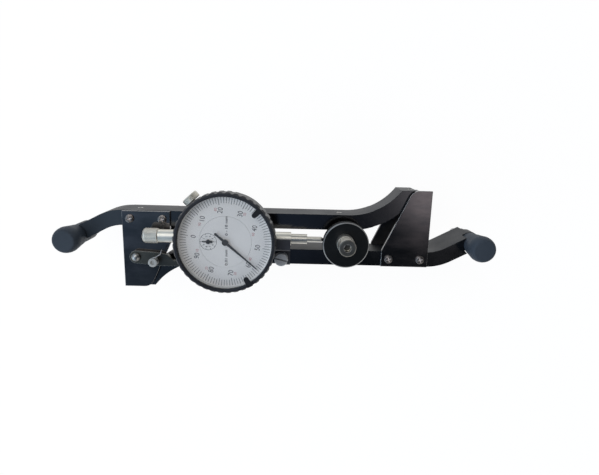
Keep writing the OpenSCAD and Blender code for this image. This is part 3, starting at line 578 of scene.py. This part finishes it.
low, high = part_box("return_spring")
spot = middle("return_spring")
coil_r = (high.y - low.y) / 2 - RETURN_WIRE
path = []
for k in range(RETURN_TURNS * COIL_STEPS + 1):
    angle = 2 * math.pi * k / COIL_STEPS
    along = (high.x - low.x - 2 * RETURN_WIRE) * k / (RETURN_TURNS * COIL_STEPS)
    path.append(Vector((low.x + RETURN_WIRE + along, spot.y + coil_r * math.cos(angle),
                        spot.z + coil_r * math.sin(angle))))
coil = piece("return_coil", *wire(path, RETURN_WIRE), SPRING, None, "spring_steel", True)
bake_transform(coil)
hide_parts("return_spring")


# Lever spring, coiled round its stud, with a free leg to the cover's edge

LEVER_WIRE = 0.27 * MM
LEVER_TURNS = 3
LEVER_COIL_R = 2.3 * MM
LEVER_COIL_LOW = 0.75 * MM
LEVER_PITCH = 1.0 * MM
LEVER_START = math.radians(112)
# the leg's bends, in millimetres from the stud's axis at the lever's front face
LEVER_LEG = ((1.2, 3.0, 3.75), (2.8, 4.0, 3.68), (4.3, 4.9, 3.6), (4.8, 6.5, 3.35), (5.3, 8.2, 3.1))

stud = middle("lever_stud")
stud.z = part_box("lock_lever")[1].z
path = []
for k in range(LEVER_TURNS * COIL_STEPS + 1):
    out_way = ray(LEVER_START - 2 * math.pi * k / COIL_STEPS)
    rise = LEVER_COIL_LOW + LEVER_PITCH * k / COIL_STEPS
    path.append(stud + out_way * LEVER_COIL_R + FRONT * rise)
path += [stud + Vector(leg) * MM for leg in LEVER_LEG]
torsion = piece("lever_coil", *wire(path, LEVER_WIRE, 8), SPRING, "lever", "spring_steel", True)
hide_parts("lever_spring")


# Hairspring, a flat spiral ending at a post

HAIR_TURNS = 4
HAIR_STEPS = 36
HAIR_INNER = 1.05 * MM
HAIR_PITCH = 1.0 * MM
HAIR_HALF_HIGH = 0.35 * MM
HAIR_HALF_THICK = 0.09 * MM
POST_R = 0.5 * MM
POST_OUT = 0.55 * MM

low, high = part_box("hairspring")
eye = middle("take_up_gear")
eye.z = high.z - HAIR_HALF_HIGH
out_ways = [ray(2 * math.pi * k / HAIR_STEPS) for k in range(HAIR_TURNS * HAIR_STEPS + 1)]
path = [eye + out_way * (HAIR_INNER + HAIR_PITCH * k / HAIR_STEPS)
        for k, out_way in enumerate(out_ways)]
points, faces = strip(path, [FRONT] * len(path), HAIR_HALF_HIGH, out_ways, HAIR_HALF_THICK)
foot = path[-1] + RIGHT * POST_OUT
post, post_faces = wire([Vector((foot.x, foot.y, z)) for z in (low.z, high.z)], POST_R, 24)
faces += [[len(points) + n for n in face] for face in post_faces]
hair = piece("hairspring_coil", points + post, faces, BLUED, "lower_frame", "spring_steel")
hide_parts("hairspring")


# Dial print

class Print:
    """Flat marks gathered into one mesh."""

    FIGURE_SHARE = 0.70  # a figure's height as a share of the letters' size

    def __init__(self):
        self.points, self.faces = [], []

    def tick(self, centre, angle, inner, outer, width):
        way = ray(angle)
        side = Vector((-way.y, way.x, 0)) * (width / 2)
        a, b = centre + way * inner, centre + way * outer
        start = len(self.points)
        self.points += [a - side, b - side, b + side, a + side]
        self.faces.append(list(range(start, start + 4)))

    def circle(self, centre, radius, width, count):
        start = len(self.points)
        for k in range(count):
            way = ray(2 * math.pi * k / count)
            self.points += [centre + way * r for r in (radius - width / 2, radius + width / 2)]
        for k in range(count):
            a, b = start + 2 * k, start + 2 * ((k + 1) % count)
            self.faces.append([a, a + 1, b + 1, b])

    def words(self, text, centre, height, up, right, stretch=1.0, bold=0.0):
        curve = bpy.data.curves.new("words", "FONT")
        curve.body = text
        curve.size = height / self.FIGURE_SHARE
        curve.offset = bold
        curve.align_x = "CENTER"
        curve.resolution_u = 4
        holder = placed("words", curve)
        bpy.context.view_layer.update()
        shape = holder.to_mesh()
        start = len(self.points)
        for v in shape.vertices:
            self.points.append(centre + right * (v.co.x * stretch) + up * (v.co.y - height / 2))
        for p in shape.polygons:
            self.faces.append([start + i for i in p.vertices])
        holder.to_mesh_clear()
        bpy.data.objects.remove(holder)
        bpy.data.curves.remove(curve)

    def make(self, name, finish, body, slot):
        return piece(name, self.points, self.faces, finish, body, slot)


# Scale ring: 100 ticks, numbers by tens, and small red numbers that count the other way

INK_LIFT = 0.02 * MM
ZERO_ANGLE = math.radians(171.0)
DIVISION = math.radians(3.6)
TICK_OUT = 26.2 * MM
TENS_IN, FIVES_IN, ONES_IN = 21.7 * MM, 22.1 * MM, 22.6 * MM
TENS_WIDE, ONES_WIDE = 0.26 * MM, 0.23 * MM
NUMBER_R, NUMBER_HIGH, NUMBER_STRETCH = 18.6 * MM, 2.95 * MM, 0.84
RED_HIGH, RED_STRETCH = 1.6 * MM, 0.86
RED_RIGHT, RED_UP = 3.3 * MM, 3.1 * MM
# where each red number stands from its black one, in steps of RED_RIGHT and RED_UP
BESIDE = {10: (-1.0, 0.3), 20: (0.0, 0.85), 30: (0.05, -0.85), 40: (-1.1, 0.05), 60: (1.05, -0.2),
          70: (0.0, -0.85), 80: (0.1, 0.85), 90: (0.9, 0.05)}

dial = middle("scale_ring")
dial.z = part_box("scale_ring")[1].z + INK_LIFT
number_up = ray(ZERO_ANGLE)
number_right = Vector((number_up.y, -number_up.x, 0))
scale_marks, red_marks = Print(), Print()
for k in range(100):
    inner = TENS_IN if k % 10 == 0 else FIVES_IN if k % 5 == 0 else ONES_IN
    wide = TENS_WIDE if k % 10 == 0 else ONES_WIDE
    scale_marks.tick(dial, ZERO_ANGLE - DIVISION * k, inner, TICK_OUT, wide)
for n in range(0, 100, 10):
    spot = dial + ray(ZERO_ANGLE - DIVISION * n) * NUMBER_R
    scale_marks.words(str(n), spot, NUMBER_HIGH, number_up, number_right, NUMBER_STRETCH)
    if n in BESIDE:
        across, along = BESIDE[n]
        small = spot + number_right * (across * RED_RIGHT) + number_up * (along * RED_UP)
        red_marks.words(str(100 - n), small, RED_HIGH, number_up, number_right, RED_STRETCH)
scale_marks.make("scale_marks", INK, "bezel_ring", "pointer_black")
red_marks.make("reverse_numbers", RED_INK, "bezel_ring", "pointer_black")


# Centre plate: the small counter, the range and the reading, all read from the right

COUNTER_R, COUNTER_LINE, COUNTER_STEPS = 4.8 * MM, 0.2 * MM, 64
COUNTER_IN, COUNTER_OUT, COUNTER_WIDE = 4.0 * MM, 4.72 * MM, 0.24 * MM
COUNT_R, COUNT_HIGH, COUNT_STRETCH, COUNT_BOLD = 3.1 * MM, 1.05 * MM, 0.9, 0.03 * MM
WORD_HIGH, WORD_STRETCH, WORD_BOLD = 1.5 * MM, 1.25, 0.05 * MM
PLATE_WORDS = {"0 - 10 mm": Vector((0.6, 9.4, 0)) * MM, "0.01 mm": Vector((0.4, -9.2, 0)) * MM}

plate_marks = Print()
counter = middle("counter_gear")
counter.z = dial.z
plate_marks.circle(counter, COUNTER_R, COUNTER_LINE, COUNTER_STEPS)
for k in range(10):
    angle = math.pi - math.radians(36.0 * k)
    plate_marks.tick(counter, angle, COUNTER_IN, COUNTER_OUT, COUNTER_WIDE)
    plate_marks.words(str(k), counter + ray(angle) * COUNT_R, COUNT_HIGH, -RIGHT, UP, COUNT_STRETCH,
                      COUNT_BOLD)
for text, spot in PLATE_WORDS.items():
    plate_marks.words(text, dial + spot, WORD_HIGH, -RIGHT, UP, WORD_STRETCH, WORD_BOLD)
plate_marks.make("plate_marks", INK, "lower_frame", "pointer_black")


# Camera, fitted to the photo

PHOTO_WIDE_PX = 599
FOCAL_PX = 474.731
SENSOR_WIDE = 36.0  # millimetres, as a camera takes it
CAMERA_SPOT = Vector((8.827, 65.214, 336.115)) * MM
CAMERA_TILT, CAMERA_SWING, CAMERA_ROLL = -12.4783, -0.7312, 1.5485  # degrees about X, Y and Z

camera = bpy.data.cameras.new("camera")
camera.sensor_width = SENSOR_WIDE
camera.lens = FOCAL_PX / PHOTO_WIDE_PX * SENSOR_WIDE
camera.clip_start = 0.01
view = placed("camera", camera)
look = Euler([math.radians(a) for a in (CAMERA_TILT, CAMERA_SWING, CAMERA_ROLL)])
view.matrix_world = Matrix.Translation(CAMERA_SPOT) @ look.to_matrix().to_4x4()
bpy.context.scene.camera = view


# Floor, which shows as white and keeps the object's shadow

FLOOR_HALF = 40.0
FLOOR_UNDER = 0.2 * MM
FLOOR_GLOW = 1.07
GLOW_SHARE = 0.88


def floor_finish():
    f = Finish("pale_floor", roughness=0.9, specular_ior_level=0.1)
    f.set("Base Color", f.mix(f.range(f.noise(scale=3.0), 0.3, 0.7), (0.88, 0.88, 0.88),
                              (0.90, 0.90, 0.90)))
    by_camera, by_gloss, by_glass = (f.node("ShaderNodeLightPath", out=f"Is {kind} Ray")
                                     for kind in ("Camera", "Glossy", "Transmission"))
    seen = (by_camera + by_gloss + by_glass).least(1.0)
    glow = f.node("ShaderNodeEmission", None, {"Color": WHITE, "Strength": FLOOR_GLOW})
    shown = f.node("ShaderNodeMixShader", None,
                   {0: seen * GLOW_SHARE, 1: Flow(f, f.shader.outputs[0]), 2: glow})
    f.feed(f.tree.nodes["Material Output"].inputs["Surface"], shown)
    return f.material


floor = bpy.data.meshes.new("floor")
floor.from_pydata([(x * FLOOR_HALF, y * FLOOR_HALF, -FLOOR_UNDER)
                   for x, y in ((-1, -1), (1, -1), (1, 1), (-1, 1))], [], [(0, 1, 2, 3)])
floor.materials.append(floor_finish())
ground = placed("floor", floor)


# Lamps and room

def lamp(name, place, aim, size, power, colour):
    light = bpy.data.lights.new(name, "AREA")
    light.shape = "RECTANGLE"
    light.size, light.size_y = size
    light.energy = power
    light.color = colour
    holder = placed(name, light)
    holder.location = place
    holder.rotation_euler = (Vector(aim) - Vector(place)).to_track_quat("-Z", "Y").to_euler()


lamp("key", place=(-0.40, 0.55, 1.15), aim=(0, 0, 0.04), size=(1.3, 0.8), power=4.8,
     colour=(1.0, 0.945, 0.86))
lamp("fill", place=(0.55, -0.70, 0.62), aim=(0, 0, 0.04), size=(0.8, 0.6), power=1.15,
     colour=(1.0, 0.98, 0.95))
lamp("window", place=(-0.46, -0.22, 0.36), aim=(-0.08, 0, 0.05), size=(0.34, 0.34), power=0.52,
     colour=(0.80, 0.92, 1.0))


def studio():
    """A room with pale walls, bluer towards the window, darker overhead, with one soft glow there.

    Each ramp's stops run over one part of the way that is looked along: from left to right, from
    near to far, from the floor up, or towards the glow.
    """
    world = bpy.data.worlds.new("studio")
    world.use_nodes = True
    w = Nodes(world.node_tree)
    way = w.node("ShaderNodeTexCoord", out="Generated")
    across = w.range(w.axis(way, X), -1.0, 1.0)
    depth = w.range(w.axis(way, Y), -1.0, 1.0)
    walls = w.ramp(across, ((0.20, (0.46, 0.58, 0.72)), (0.60, (0.24, 0.24, 0.24))))
    ceiling = w.ramp(across, ((0.30, (0.330, 0.480, 0.720)), (0.35, (0.195, 0.292, 0.410)),
                              (0.50, (0.104, 0.144, 0.226)), (0.58, (0.044, 0.057, 0.076)),
                              (0.66, (0.042, 0.053, 0.064))))
    near = w.ramp(depth, ((0.366, (0.55, 0.55, 0.55)), (0.412, WHITE)))
    overhead = w.ramp(w.axis(way, Z), ((0.50, BLACK), (0.86, WHITE)))
    room = w.mix(overhead, walls, w.mix(1.0, ceiling, near, "MULTIPLY"))
    glow_way = Vector((0.285, -0.105, 0.953)).normalized()
    glow = w.ramp(w.dot(way, glow_way), ((0.9915, BLACK), (0.9958, (0.170, 0.162, 0.172)),
                                         (0.9988, (1.25, 1.18, 1.23))))
    w.feed(w.tree.nodes["Background"].inputs["Color"], w.mix(1.0, room, glow, "ADD"))
    bpy.context.scene.world = world


studio()

bpy.context.scene.view_settings.view_transform = "Standard"
